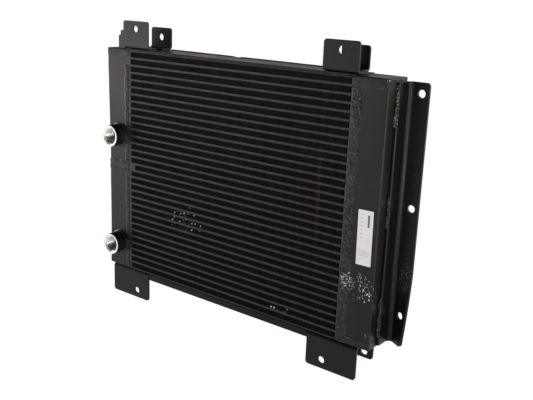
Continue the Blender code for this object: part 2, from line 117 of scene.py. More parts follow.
class Shader:
    """A material's node tree, with short ways to add the nodes that the paints share.

    Noise and cell scales are per metre.
    """

    def __init__(self, name, color, roughness, metallic=0, specular=0.5):
        self.material = bpy.data.materials.new(name)
        self.material.use_nodes = True
        self.tree = self.material.node_tree
        self.inputs = self.tree.nodes["Principled BSDF"].inputs
        self.inputs["Base Color"].default_value = (*color, 1)
        self.inputs["Roughness"].default_value = roughness
        self.inputs["Metallic"].default_value = metallic
        self.inputs["Specular IOR Level"].default_value = specular
        self.color = None
        local = self.add("ShaderNodeTexCoord")
        self.place = local.outputs["Object"]
        self.facing = local.outputs["Normal"]
        self.world = self.add("ShaderNodeNewGeometry").outputs["Position"]

    def add(self, kind, inputs=(), **settings):
        """A new node. inputs gives its sockets numbers, tuples or other nodes' outputs."""
        node = self.tree.nodes.new(kind)
        for key, value in settings.items():
            setattr(node, key, value)
        for key, value in dict(inputs).items():
            self.link(value, node.inputs[key])
        return node

    def link(self, source, target):
        """Join two sockets, or set the target where the source isn't a socket."""
        if isinstance(source, bpy.types.NodeSocket):
            self.tree.links.new(source, target)
        else:
            target.default_value = source

    def math(self, operation, first, second):
        return self.add("ShaderNodeMath", {0: first, 1: second}, operation=operation).outputs[0]

    def mapped(self, source, location, scale=(1, 1, 1), kind="POINT"):
        inputs = {"Vector": source, "Location": location, "Scale": scale}
        return self.add("ShaderNodeMapping", inputs, vector_type=kind).outputs[0]

    def noise(self, scale, detail=3, roughness=0.5, stretch=(1, 1, 1), offset=0):
        inputs = {"Vector": self.mapped(self.place, shifted(offset), stretch),
                  "Scale": scale, "Detail": detail, "Roughness": roughness}
        return self.add("ShaderNodeTexNoise", inputs).outputs["Fac"]

    def ramp(self, value, low, high, out_low=0, out_high=1):
        inputs = {"Value": value, "From Min": low, "From Max": high,
                  "To Min": out_low, "To Max": out_high}
        node = self.add("ShaderNodeMapRange", inputs, interpolation_type="SMOOTHSTEP")
        return node.outputs["Result"]

    def component(self, vector, name):
        return self.add("ShaderNodeSeparateXYZ", {0: vector}).outputs[name]

    def blob(self, center, radii, soft=0.5):
        """1 inside an ellipsoid about center, falling to 0 at its surface."""
        local = self.mapped(self.world, center, radii, "TEXTURE")
        length = self.add("ShaderNodeVectorMath", {0: local}, operation="LENGTH")
        return self.ramp(length.outputs["Value"], soft, 1, 1, 0)

    def dots(self, scale, size, offset=0):
        """Round spots, one to a cell, and a random number for each cell."""
        inputs = {"Vector": self.mapped(self.world, shifted(offset)), "Scale": scale}
        cells = self.add("ShaderNodeTexVoronoi", inputs)
        split = self.add("ShaderNodeSeparateColor", {0: cells.outputs["Color"]})
        spot = self.ramp(cells.outputs["Distance"], size * 0.7, size, 1, 0)
        return spot, split.outputs["Red"]

    def worn_and_sheen_edges(self):
        """1 along a mesh's convex edges, from the attribute that finish_mesh writes."""
        return self.add("ShaderNodeAttribute", attribute_name="worn_and_sheen").outputs["Fac"]

    def mix_color(self, factor, color):
        """Lay a colour over what the base colour is so far."""
        node = self.add("ShaderNodeMix", data_type="RGBA")
        self.link(factor, input_of(node, "Factor"))
        base = self.inputs["Base Color"]
        if self.color is None:
            input_of(node, "A").default_value = base.default_value
        else:
            self.link(self.color, input_of(node, "A"))
        input_of(node, "B").default_value = (*color, 1)
        self.color = next(socket for socket in node.outputs if socket.enabled)
        self.link(self.color, base)

    def roughness(self, cloud, low, high):
        self.link(self.ramp(cloud, 0.3, 0.7, low, high), self.inputs["Roughness"])

    def bump(self, height, distance, strength):
        """Add relief to what the normal is so far."""
        inputs = {"Height": height, "Distance": distance, "Strength": strength}
        node = self.add("ShaderNodeBump", inputs)
        normal = self.inputs["Normal"]
        if normal.is_linked:
            self.link(normal.links[0].from_socket, node.inputs["Normal"])
        self.link(node.outputs[0], normal)


# ---- materials

PAINT = (0.005, 0.0046, 0.0045)
DUST = (0.11, 0.1, 0.092)
CHIP = (0.62, 0.61, 0.59)
WORN_PAINT_AND_SHEEN = (0.036, 0.034, 0.033)
SPATTER = (0.075, 0.072, 0.07)


def chips_and_glints(shader, patches):
    """Small bright spots, chipped paint in most places and painted glints on the stitch welds and
    the right cap's corner: centre and radii in mm, share of cells chipped, cells per metre.
    """
    for center, radii, share, scale, color in patches:
        spot, chance = shader.dots(scale, 0.42, core(*center).x)
        area = shader.math("MULTIPLY", spot_area(shader, center, radii), share)
        chosen = shader.math("GREATER_THAN", chance, shader.math("SUBTRACT", 1, area))
        shader.mix_color(shader.math("MULTIPLY", spot, chosen), color)


def spot_area(shader, center, radii, soft=0.5):
    return shader.blob(core(*center), [r * MM for r in radii], soft)


def paint(name, base, roughness, specular, texture=1, wear_and_sheen=0.7, dust=0, mottle=0,
          patches=(), dark_spots=()):
    """Satin black paint over metal: orange peel, roughness patches, paler convex edges for
    thinned paint and a painted highlight, some dust.
    """
    shader = Shader(name, base, roughness, specular=specular)
    fine = shader.noise(780, detail=2)
    peel = shader.noise(260, detail=2, offset=1.7)
    cloud = shader.noise(14, detail=4, roughness=0.6, offset=5.3)
    lighter = tuple(c * 2.1 + 0.002 for c in base)
    shader.mix_color(shader.ramp(cloud, 0.35, 0.75, 0, 0.45), lighter)
    flecks = shader.ramp(shader.noise(620, detail=1, offset=9.1), 0.7, 0.78, 0, 0.35)
    shader.mix_color(flecks, DUST)
    if dust > 0:
        settled = shader.noise(30, detail=5, roughness=0.65, offset=2.2)
        settled = shader.ramp(settled, 0.28, 0.66, dust * 0.45, dust)
        upward = shader.ramp(shader.component(shader.facing, "Z"), 0.6, 0.95)
        shader.mix_color(shader.math("MULTIPLY", settled, upward), DUST)
    # Paler along convex edges: thinned paint and a painted highlight.
    rubbed_and_sheen = shader.ramp(shader.noise(95, detail=4, offset=7.7), 0.42, 0.62, 0.15, wear_and_sheen)
    shader.mix_color(shader.math("MULTIPLY", shader.worn_and_sheen_edges(), rubbed_and_sheen), WORN_PAINT_AND_SHEEN)
    if mottle > 0:
        ragged = shader.noise(230, detail=4, roughness=0.6, offset=3.9)
        shader.mix_color(shader.ramp(ragged, 0.46, 0.6, 0, mottle), SPATTER)
    chips_and_glints(shader, patches)
    # Darker spots, one of them painted shade in a dent.
    for center, radii, color in dark_spots:
        shader.mix_color(spot_area(shader, center, radii), color)
    shader.roughness(cloud, roughness - 0.04, roughness + 0.06)
    shader.bump(peel, 0.05 * MM, 0.5 * texture)
    shader.bump(fine, 0.03 * MM, 0.6 * texture)
    return shader.material


def bare_metal(name, color, metallic, roughness):
    """Freshly machined aluminium with fine turning marks."""
    shader = Shader(name, color, roughness, metallic=metallic)
    cloud = shader.noise(120)
    shader.mix_color(shader.ramp(cloud, 0.3, 0.75, 0, 0.35), tuple(c * 0.77 for c in color))
    shader.roughness(cloud, roughness * 0.8, roughness * 1.35)
    shader.bump(shader.noise(2200, detail=1, stretch=(0.3, 3, 0.3)), 0.01 * MM, 0.5)
    return shader.material


def fin_paint(name, patches):
    """Dull black on the fins, paler on their front edges as a painted highlight, and browned
    along one abraded streak.
    """
    shader = Shader(name, (0.0022, 0.0022, 0.0022), 0.6, specular=0.08)
    cloud = shader.noise(60, detail=4)
    shader.mix_color(shader.ramp(cloud, 0.4, 0.8, 0, 0.6), (0.007, 0.007, 0.008))
    # A painted highlight: the front 0.1 to 0.45 mm of the fins is paler.
    edge = shader.ramp(shader.component(shader.place, "Y"), 0.1 * MM, 0.45 * MM, 1, 0)
    shader.mix_color(edge, (0.03, 0.03, 0.03))
    streak = spot_area(shader, (486, 0, 257), (5, 40, 120), 0.4)
    shader.mix_color(shader.math("MULTIPLY", streak, 0.45), (0.055, 0.036, 0.022))
    chips_and_glints(shader, patches)
    shader.roughness(cloud, 0.5, 0.7)
    shader.bump(shader.noise(900, detail=2), 0.02 * MM, 0.5)
    return shader.material


def film(name, color, roughness):
    """Printed label film with a faint calendered texture."""
    shader = Shader(name, color, roughness)
    cloud = shader.noise(90)
    shader.mix_color(shader.ramp(cloud, 0.45, 0.8, 0, 0.25), tuple(c * 0.86 for c in color))
    shader.roughness(cloud, roughness - 0.05, roughness + 0.08)
    shader.bump(shader.noise(500, detail=2), 0.01 * MM, 0.4)
    return shader.material


CORE_PATCHES = (
    ((168, 0, 146), (52, 12, 23), 0.05, 330, CHIP),
    ((150, 0, 138), (40, 12, 17), 0.12, 620, (0.2, 0.2, 0.2)),
    ((416, 0, 15.7), (24, 12, 7), 0.3, 330, CHIP),
)
TANK_PATCHES = (
    ((560, 0, 119), (19, 12, 21), 0.75, 420, (0.4, 0.4, 0.4)),
    ((561, 0, 121), (17, 12, 19), 0.4, 270, (0.62, 0.62, 0.63)),
    ((586, 0, 126), (6.5, 12, 22), 0.85, 420, (0.42, 0.42, 0.43)),
    ((598, 2, 112), (17, 14, 31), 0.34, 360, (0.42, 0.42, 0.44)),
    ((602, 2, 100), (13, 14, 22), 0.22, 230, (0.6, 0.6, 0.62)),
    ((575, 0, 93), (20, 12, 6), 0.3, 300, (0.13, 0.1, 0.08)),
    ((614, 14, 108), (6, 13, 28), 0.45, 420, (0.16, 0.16, 0.15)),
    ((607, 0, 27), (4, 6, 4), 1, 260, (0.5, 0.48, 0.45)),
    ((571, 0, 8.5), (10, 6, 4.5), 0.55, 380, (0.22, 0.22, 0.21)),
)
# Bright spots on the stitch welds: bare metal chips and painted glints off the weld ripples.
BRIGHT_WELD_AND_GLINT = (0.44, 0.42, 0.36)
STITCH_CHIPS_AND_GLINTS = (
    ((616, 26, 437), (12, 12, 44), 0.55, 400, BRIGHT_WELD_AND_GLINT),
    ((616, 26, 253), (12, 12, 34), 0.25, 400, (0.16, 0.15, 0.13)),
    ((616, 26, 56), (12, 12, 44), 0.35, 400, (0.16, 0.15, 0.13)),
)
ANGLE_PATCHES = (
    ((645, 60, 128), (18, 12, 36), 0.55, 420, (0.09, 0.12, 0.13)),
)
# Darker spots on the top plate and rear strip: the larger one is painted shade in the strip's
# dent at x 240, the smaller one a darker spot.
PLATE_DARK_SPOTS = (
    ((249, 57, 483), (14, 5, 6), (0.003, 0.003, 0.003)),
    ((459, 50, 483), (4, 4, 4), (0.004, 0.004, 0.004)),
)
# Pale spots on the right cap's front corner: a painted corner highlight and chipped paint.
CAP_CHIPS_AND_HIGHLIGHTS = (
    ((611, 1, 479), (4, 4, 4), 0.9, 400, (0.34, 0.31, 0.27)),
    ((612, 1, 467), (3.5, 3.5, 3.5), 0.9, 400, (0.3, 0.28, 0.25)),
)

MATERIALS = {       # paints: base colour, roughness, specular level, texture, paler convex edges for thinned paint and a painted highlight
    "tank": paint("tank_paint", PAINT, 0.3, 0.21, patches=TANK_PATCHES),
    "weld": paint("weld_paint", PAINT, 0.3, 0.2, 1.6, 0.4, mottle=0.2,
                  patches=TANK_PATCHES),
    "band": paint("wide_weld_paint", PAINT, 0.28, 0.22, 1.8, 0.4, mottle=0.42,
                  patches=TANK_PATCHES),
    "stitch": paint("stitch_weld_paint", (0.016, 0.015, 0.014), 0.24, 0.45, 1.8, 1,
                    patches=STITCH_CHIPS_AND_GLINTS),
    "cap": paint("cap_paint", PAINT, 0.32, 0.17, dust=0.07, patches=CAP_CHIPS_AND_HIGHLIGHTS),
    "plate": paint("side_plate_paint", (0.0048, 0.0044, 0.0043), 0.36, 0.21, 1.3, dust=0.95,
                   dark_spots=PLATE_DARK_SPOTS),
    "strip": paint("rear_strip_paint", (0.07, 0.063, 0.059), 0.36, 0.15, dust=0.7,
                   dark_spots=PLATE_DARK_SPOTS),
    "rail": paint("rail_paint", (0.0041, 0.0038, 0.0037), 0.36, 0.14, 1.2),
    "bar": paint("bar_paint", (0.011, 0.0118, 0.0125), 0.32, 0.27, patches=CORE_PATCHES),
    "bracket": paint("bracket_paint", (0.0046, 0.0042, 0.0041), 0.32, 0.18, 0.8),
    # A paler, glossier copy of the bracket paint, used on the front top left bracket and the
    # plate behind it.
    "dusty_bracket": paint("bracket_paint_paler", (0.0095, 0.0086, 0.0082), 0.34, 0.22, 0.8),
    "angle": paint("angle_paint", tuple(c * 0.83 for c in PAINT), 0.3, 0.166,
                   patches=ANGLE_PATCHES),
    "fin": fin_paint("fin_paint_black", CORE_PATCHES),
    "metal": bare_metal("machined_aluminium", (0.86, 0.86, 0.85), 0.35, 0.3),
    "bore": bare_metal("threaded_aluminium", (0.74, 0.72, 0.69), 0.78, 0.2),
    "chip": bare_metal("torn_aluminium", (0.93, 0.93, 0.92), 0, 0.45),
    "label": film("label_film_white", (0.72, 0.73, 0.73), 0.42),
    "ink": film("label_print_grey", (0.1, 0.1, 0.1), 0.45),
    "pale_ink": film("label_print_pale", (0.5, 0.5, 0.5), 0.45),
}


# ---- mesh helpers

WORN_AND_SHEEN_ANGLE = math.radians(27)      # convex edges sharper than this get paler paint, for thinned paint and a painted highlight


def finish_mesh(name, bm, smooth=38):
    bmesh.ops.recalc_face_normals(bm, faces=bm.faces)
    # Marks convex edges, where the paint is made paler for thinned paint and a painted highlight.
    worn_and_sheen = bm.verts.layers.float.new("worn_and_sheen")
    for edge in bm.edges:
        if len(edge.link_faces) == 2 and edge.calc_face_angle_signed() > WORN_AND_SHEEN_ANGLE:
            for vert in edge.verts:
                vert[worn_and_sheen] = 1
    mesh = bpy.data.meshes.new(name)
    bm.to_mesh(mesh)
    bm.free()
    mesh.shade_smooth()
    mesh.set_sharp_from_angle(angle=math.radians(smooth))
    return mesh


def new_object(name, data):
    obj = bpy.data.objects.new(name, data)
    bpy.context.scene.collection.objects.link(obj)
    return obj


def evaluated_mesh(obj):
    graph = bpy.context.evaluated_depsgraph_get()
    return bpy.data.meshes.new_from_object(obj.evaluated_get(graph))


def piece(name, mesh, looks, node=None, weighted=True, smooth=50, place=(0, 0, 0)):
    """Put a mesh in the scene, riding on the one body, and hide the CAD node it stands for."""
    if isinstance(mesh, bmesh.types.BMesh):
        mesh = finish_mesh(name, mesh, smooth)
    obj = new_object(name, mesh)
    obj.location = place
    looks = looks.split()
    if not mesh.materials:
        for look in looks:
            mesh.materials.append(MATERIALS[look])
    if weighted:
        modifier = obj.modifiers.new("weighted_normals", "WEIGHTED_NORMAL")
        modifier.keep_sharp = True
    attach(obj, ROOT)
    if node:
        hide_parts(node)
    return obj


def arc(center, radius, start, end, steps):
    points = []
    for i in range(steps + 1):
        angle = math.radians(start + (end - start) * i / steps)
        points.append((center[0] + radius * math.cos(angle),
                       center[1] + radius * math.sin(angle)))
    return points


def circle(u, v, radius):
    return arc((u, v), radius, 0, 360, 32)[:-1]


def loop_edges(bm, verts):
    return [bm.edges.new(pair) for pair in zip(verts, verts[1:] + verts[:1])]


def bridge(bm, near, far):
    """Faces between two closed rings of vertices."""
    faces = []
    for i in range(len(near)):
        k = (i + 1) % len(near)
        faces.append(bm.faces.new((near[i], near[k], far[k], far[i])))
    return faces


def extrude(outline, place, start, end, bm=None):
    """Extrude a closed outline of (u, v) points; place turns (u, v, depth) into a point."""
    if bm is None:
        bm = bmesh.new()
    near, far = ([bm.verts.new(place(u, v, depth)) for u, v in outline]
                 for depth in (start, end))
    bridge(bm, near, far)
    bm.faces.new(near)
    bm.faces.new(far)
    return bm


def along_x(u, v, depth):
    return Vector((depth, u, v))


def along_y(u, v, depth):
    return Vector((u, depth, v))


def along_z(u, v, depth):
    return Vector((u, v, depth))


def sharp_edges(bm, degrees=40):
    bmesh.ops.recalc_face_normals(bm, faces=bm.faces)
    limit = math.radians(degrees)
    return [e for e in bm.edges if len(e.link_faces) == 2 and e.calc_face_angle() > limit]


def bevel_edges(bm, edges, width, segments=2):
    bmesh.ops.bevel(bm, geom=edges, offset=width, segments=segments, profile=0.5,
                    affect="EDGES", clamp_overlap=True)


def bevelled_box(lo, hi, width, segments=2):
    outline = [(lo.x, lo.y), (hi.x, lo.y), (hi.x, hi.y), (lo.x, hi.y)]
    bm = extrude(outline, along_z, lo.z, hi.z)
    bevel_edges(bm, sharp_edges(bm), width, segments)
    return bm


def wander(bm, amount, size, seed=0, axes=(1, 1, 1)):
    """Move vertices by a smooth noise, so that flat walls reflect as worked metal does."""
    for vert in bm.verts:
        sample = noise.noise_vector(vert.co / size + Vector((seed, seed * 1.3, seed * 0.7)))
        for i in range(3):
            vert.co[i] += sample[i] * amount * axes[i]


def slice_mesh(bm, axis, positions):
    """Cut a mesh with planes across one axis, to give it vertices there."""
    normal = Vector((0, 0, 0))
    normal[axis] = 1
    for position in positions:
        point = normal * position
        geometry = bm.verts[:] + bm.edges[:] + bm.faces[:]
        bmesh.ops.bisect_plane(bm, geom=geometry, plane_co=point, plane_no=normal, dist=1e-6)


def slice_evenly(bm, axis, low, high, step):
    count = int((high - low) / step)
    slice_mesh(bm, axis, [low + (high - low) * (i + 1) / (count + 1) for i in range(count)])


# ---- air fins

FIN_WAVE = 5.4 * MM
FIN_SHEET = 0.28 * MM
FIN_ZIGZAG = 1.5 * MM         # enough that nobody sees straight through
FIN_STATIONS = 8


def fin_mesh(name, row):
    """One corrugated sheet: trapezoidal waves along X that zigzag through the depth."""
    lo, hi = row_box(row)
    length, depth, height = hi - lo
    waves = int(length / FIN_WAVE)
    wave = length / (waves + 0.3)
    profile = []
    for i in range(waves):
        x = i * wave
        profile += [(x, 0), (x + 0.3 * wave, 0), (x + 0.5 * wave, height),
                    (x + 0.8 * wave, height)]
    profile += [(waves * wave, 0), ((waves + 0.29) * wave, 0)]
    bm = bmesh.new()
    rows = []
    for j in range(FIN_STATIONS + 1):
        y = depth * j / FIN_STATIONS
        shift = FIN_ZIGZAG * (1 if j % 2 else -1)
        rows.append([
            bm.verts.new((min(max(x + shift, 0), length), y, z)) for x, z in profile
        ])
    for near, far in zip(rows, rows[1:]):
        for i in range(len(profile) - 1):
            bm.faces.new((near[i], near[i + 1], far[i + 1], far[i]))
    bmesh.ops.recalc_face_normals(bm, faces=bm.faces)
    sheet = bpy.data.meshes.new(name + "_sheet")
    bm.to_mesh(sheet)
    bm.free()
    holder = new_object(name + "_holder", sheet)
    solid = holder.modifiers.new("solid", "SOLIDIFY")
    solid.thickness = FIN_SHEET
    solid.offset = 0
    mesh = evaluated_mesh(holder)
    mesh.name = name
    bpy.data.objects.remove(holder, do_unlink=True)
    bpy.data.meshes.remove(sheet)
    return mesh


def make_fins():
    full = fin_mesh("fin_sheet", 1)
    short = fin_mesh("fin_sheet_short", DIVIDER_ROW)
    for number in range(1, ROWS + 1):
        mesh = short if number == DIVIDER_ROW else full
        piece("fin_row_%02d" % number, mesh, "fin", "air_fin_row_%02d" % number, False,
              place=row_box(number)[0])


ROW_PITCH = 15
FLAKE_ROOM = 5.2              # from a row's middle to where a flake would meet a bar, in mm
FLAKE_SPACING = 7 * MM
FLAKE_HALF = 0.25 * MM        # half a flake's thickness
BENT_FINS = (    # where fins were knocked flat: centre X and Z, spread, count, flake size in mm
    (165, 145, 50, 22, 10, (2.8, 3.6)),
    (165, 145, 50, 22, 10, (1.2, 1.9)),
    (398, 18, 9, 2, 2, (3, 4.2)),
    (433, 17, 5, 3, 1, (1.8, 2.6)),
)


def make_flake(bm, center, size, chance):
    """A ragged six-sided flake that lies nearly flat on the fins' front edges."""
    turn = Matrix.Rotation(chance.uniform(-0.15, 0.15), 3, "X")
    turn = turn @ Matrix.Rotation(chance.uniform(-0.15, 0.05), 3, "Z")
    start = chance.uniform(0, 2 * math.pi)
    outline = []
    for corner in range(6):
        spoke = start + corner * math.pi / 3
        radius = size * MM / 2 * (0.85 + 0.2 * math.sin(corner * 2.6 + start))
        outline.append((radius * math.cos(spoke), radius * 0.8 * math.sin(spoke)))

    def place(u, v, depth):
        point = center + turn @ Vector((u, depth, v))
        point.y = max(point.y, FRONT_Y + 0.15 * MM)
        return point

    extrude(outline, place, -FLAKE_HALF, FLAKE_HALF, bm)


def make_bent_fins():
    """Torn and flattened fin tips, bright where the bare metal shows."""
    chance = random.Random(12)
    bm = bmesh.new()
    centers = []
    for x, z, across, up, count, sizes in BENT_FINS:
        placed = 0
        while placed < count:
            angle, reach = chance.uniform(0, 2 * math.pi), math.sqrt(chance.random())
            size = chance.uniform(*sizes)
            place_z = z + up * reach * math.sin(angle)
            row_middle = (round(place_z / ROW_PITCH - 0.5) + 0.5) * ROW_PITCH
            room = max(0, FLAKE_ROOM - size / 2)
            if abs(place_z - row_middle) > room:
                place_z = row_middle + chance.uniform(-room, room)
            center = core(x + across * reach * math.cos(angle), 0.7, place_z)
            if all((center - other).length >= FLAKE_SPACING for other in centers[-20:]):
                centers.append(center)
                make_flake(bm, center, size, chance)
                placed += 1
    piece("bent_fin_tips", bm, "chip", weighted=False, smooth=38)


# ---- passages

SHEET = 0.8 * MM
BAR_DEPTH = 8 * MM
BAR_SETBACK = 0.3 * MM


def passage_mesh(length):
    """A flat tube: two parting sheets and two long bars with rounded faces set a little back."""
    depth = BACK_Y - FRONT_Y
    half = PASSAGE_HEIGHT / 2
    inner = half - SHEET
    round_r = 0.35 * MM
    front = [(round_r, -half), (0, round_r - half), (0, -inner - 0.1 * MM),
             (BAR_SETBACK, -inner + 0.25 * MM), (BAR_SETBACK, inner - 0.25 * MM),
             (0, inner + 0.1 * MM), (0, half - round_r), (round_r, half)]
    outer = front + [(depth - y, z) for y, z in reversed(front)]
    bm = bmesh.new()
    slot = [(BAR_DEPTH, -inner), (BAR_DEPTH, inner), (depth - BAR_DEPTH, inner),
            (depth - BAR_DEPTH, -inner)]
    loops = []
    for x in (0, length):
        ring = [bm.verts.new((x, y, z)) for y, z in outer]
        hole = [bm.verts.new((x, y, z)) for y, z in slot]
        loops.append((ring, hole))
        edges = loop_edges(bm, ring) + loop_edges(bm, hole)
        bmesh.ops.triangle_fill(bm, edges=edges, use_beauty=True)
    for near, far in zip(*loops):
        bridge(bm, near, far)
    return finish_mesh("passage", bm, 50)


def short_bars(name, left, right, rows):
    """The bars that close the air rows at one end of the core, as one brazed column."""
    bm = bmesh.new()
    for number in rows:
        z = row_box(number)[0].z
        part = bevelled_box(Vector((left, FRONT_Y + 0.15 * MM, z - 0.25 * MM)),
                            Vector((right, BACK_Y - 0.15 * MM, z + ROW_HEIGHT + 0.25 * MM)),
                            0.5 * MM)
        mesh = bpy.data.meshes.new("short_bar")
        part.to_mesh(mesh)
        part.free()
        bm.from_mesh(mesh)
        bpy.data.meshes.remove(mesh)
    piece(name, bm, "bar", smooth=38)


def make_passages():
    mesh = passage_mesh(CORE_RIGHT - CORE_LEFT)
    for number in range(1, PASSAGES + 1):
        node = "upper_pass_passages" if number < DIVIDER_ROW else "lower_pass_passages"
        piece("oil_passage_%02d" % number, mesh, "bar", node, False,
              place=(CORE_LEFT, FRONT_Y, passage_z(number)))
    left_rows = [n for n in range(1, ROWS + 1) if n != DIVIDER_ROW]
    short_bars("left_end_bars", CORE_LEFT, FINS_LEFT, left_rows)
    short_bars("right_end_bars", FINS_RIGHT, CORE_RIGHT, range(1, ROWS + 1))
    lo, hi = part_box("pass_divider_bar")
    piece("wide_end_bar", bevelled_box(lo, hi, 0.6 * MM), "bar", "pass_divider_bar", smooth=38)


END_SHEET = 3 * MM
GROOVE = 1.1 * MM


def side_plate(node, top, seed):
    """An end sheet level with the front, a groove, and a cover plate set back a little."""
    lo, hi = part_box(node)
    height = hi.z - lo.z
    depth = hi.y - lo.y
    edge = 0.7 * MM
    front = [(edge, 0), (0, edge), (0, END_SHEET - edge), (edge, END_SHEET),
             (1.6 * MM, END_SHEET)]
    if height > END_SHEET + 2 * MM:
        front += [(1.6 * MM, END_SHEET + GROOVE), (0.9 * MM, END_SHEET + GROOVE + 0.3 * MM),
                  (0.5 * MM, END_SHEET + GROOVE + 0.8 * MM), (0.5 * MM, height - edge),
                  (0.5 * MM + edge, height)]
    else:
        front += [(1.6 * MM, height)]
    outline = front + [(depth - y, z) for y, z in reversed(front)]
    if not top:
        outline = [(y, height - z) for y, z in outline]
    bm = extrude([(lo.y + y, lo.z + z) for y, z in outline], along_x, lo.x, hi.x)
    slice_evenly(bm, 0, lo.x, hi.x, 9 * MM)
    wander(bm, 0.2 * MM, 32 * MM, seed, (0, 0.6, 0.4))
    piece(node + "_sheet", bm, "plate", node)


STRIP_DENT_X = 240
STRIP_DENT = (12 * MM, 1.6 * MM)     # half its length, and its depth


def make_side_plates():
    side_plate("core_top_plate", True, 1)
    side_plate("core_bottom_plate", False, 4)
    lo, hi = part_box("core_top_rear_strip")
    foot = lo.z - 0.5 * MM
    outline = [(lo.y, foot), (lo.y, lo.z + 0.1 * MM), (lo.y + 0.7 * (hi.y - lo.y), hi.z),
               (hi.y - 0.4 * MM, hi.z), (hi.y, hi.z - 0.4 * MM), (hi.y, foot)]
    bm = extrude(outline, along_x, lo.x, hi.x)
    slice_evenly(bm, 0, lo.x, hi.x, 5 * MM)
    wander(bm, 0.3 * MM, 26 * MM, 8, (0, 0.5, 0.6))
    dent_x = core(STRIP_DENT_X, 0, 0).x
    for vert in bm.verts:
        dent = 1 - min(1, abs(vert.co.x - dent_x) / STRIP_DENT[0])
        if vert.co.z > (lo.z + hi.z) / 2:
            vert.co.z -= dent * STRIP_DENT[1] + 0.3 * MM
    piece("rear_edge_strip", bm, "strip", "core_top_rear_strip", smooth=38)
    lo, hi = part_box("core_bottom_rail")
    bm = bevelled_box(lo, hi, 1.8 * MM, 4)
    slice_evenly(bm, 0, lo.x, hi.x, 9 * MM)
    wander(bm, 0.2 * MM, 30 * MM, 6, (0, 0.6, 0.3))
    piece("bottom_rail", bm, "rail", "core_bottom_rail", smooth=38)


# ---- tanks

TANK_CORNER = 3.5 * MM
TANK_WALL = 5 * MM
CAP_CORNER = 4 * MM
LEFT_BOW = ((-2, 0.9), (90, 1.6), (210, 1.7), (232, 2.3), (260, 2.7), (340, 0.9),
            (400, -0.6), (452, -1.5), (484, -1))   # height, and the shift inwards


def tank_outline(lo, hi, outer_low, grow=0, steps=10, corner=TANK_CORNER):
    """Plan of a tank from one core edge round its two outer corners to the other core edge."""
    r = max(corner + grow, 1 * MM)
    y0, y1 = lo.y - grow, hi.y + grow
    if outer_low:
        core_x, x, middle, turn = hi.x, lo.x - grow + r, 180, -90
    else:
        core_x, x, middle, turn = lo.x, hi.x + grow - r, 0, 90
    return ([(core_x, y0)] + arc((x, y0 + r), r, middle - turn, middle, steps)
            + arc((x, y1 - r), r, middle, middle + turn, steps) + [(core_x, y1)])


def bow_left(bm):
    """Welding drew the left tank's outer side in at its middle and let it out at the top."""
    for vert in bm.verts:
        z = (vert.co.z - ORIGIN.z) / MM
        shift = LEFT_BOW[0][1]
        for (z0, b0), (z1, b1) in zip(LEFT_BOW, LEFT_BOW[1:]):
            if z0 <= z <= z1:
                share = (z - z0) / (z1 - z0)
                share = share * share * (3 - 2 * share)
                shift = b0 + (b1 - b0) * share
        reach = (CORE_LEFT - vert.co.x) / (CORE_LEFT - LEFT_TANK[0].x)
        vert.co.x += shift * MM * min(1, max(0, reach))


def tank_shell(node, outer_low, port=None, seed=0):
    """A bent sheet with even walls, cut for its port and slightly uneven all over."""
    lo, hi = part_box(node)
    outside = tank_outline(lo, hi, outer_low)
    inside = tank_outline(lo, hi, outer_low, -TANK_WALL)
    bm = extrude(outside + list(reversed(inside)), along_z, lo.z, hi.z)
    for axis, margin in ((2, 0), (0, TANK_CORNER), (1, TANK_CORNER)):
        slice_evenly(bm, axis, lo[axis] + margin, hi[axis] - margin, 9 * MM)
    wander(bm, 0.16 * MM, 38 * MM, seed)
    if outer_low:
        bow_left(bm)
    obj = piece(node + "_skin", bm, "tank", node)
    if port is not None:
        cut_port(obj, port)


def cut_port(obj, port):
    """Open the tank wall behind a port boss."""
    lo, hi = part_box(port)
    center = (lo + hi) / 2
    bm = extrude(circle(center.x, center.z, PORT_BORE_R), along_y, FRONT_Y - 3 * MM,
                 FRONT_Y + TANK_WALL + 3 * MM)
    cutter = new_object(port + "_cutter", finish_mesh(port + "_cutter", bm))
    modifier = obj.modifiers.new("port", "BOOLEAN")
    modifier.operation = "DIFFERENCE"
    modifier.solver = "EXACT"
    modifier.object = cutter
    mesh = evaluated_mesh(obj)
    obj.modifiers.clear()
    obj.data = mesh
    bpy.data.objects.remove(cutter, do_unlink=True)


def tank_cap(node, outer_low, top):
    lo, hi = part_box(node)
    outline = tank_outline(lo, hi, outer_low, 0, 8, CAP_CORNER)
    bm = extrude(outline, along_z, lo.z, hi.z)
    outer_z = hi.z if top else lo.z
    core_x = hi.x if outer_low else lo.x
    rim = [
        e for e in sharp_edges(bm)
        if all(abs(v.co.z - outer_z) < 1e-6 for v in e.verts)
        and not all(abs(v.co.x - core_x) < 1e-6 for v in e.verts)
    ]
    bevel_edges(bm, rim, 2 * MM, 5)
    wander(bm, 0.2 * MM, 30 * MM, lo.z * 40)
    if outer_low:
        bow_left(bm)
    piece(node + "_skin", bm, "cap", node)


def make_tanks():
    tank_shell("left_tank_upper_shell", True, "upper_port_boss", 0.3)
    tank_shell("left_tank_lower_shell", True, "lower_port_boss", 2.6)
    tank_shell("right_tank_shell", False, None, 5.2)
    for side, outer_low in (("left", True), ("right", False)):
        tank_cap(side + "_tank_top_cap", outer_low, True)
        tank_cap(side + "_tank_bottom_cap", outer_low, False)
    lo, hi = DIVIDER
    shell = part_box("left_tank_upper_shell")
    bm = extrude(tank_outline(*shell, True, 0.9 * MM), along_z, lo.z, hi.z)
    bow_left(bm)
    piece("divider_plate_land", bm, "weld", "left_tank_divider_plate",
          smooth=38)


# ---- ports

PORT_BORE_R = 15.5 * MM
PORT_MOUTH_R = 19 * MM
PORT_MOUTH_DEPTH = 3.4 * MM
THREAD_PITCH = 2.1 * MM
THREAD_DEPTH = 1.1 * MM


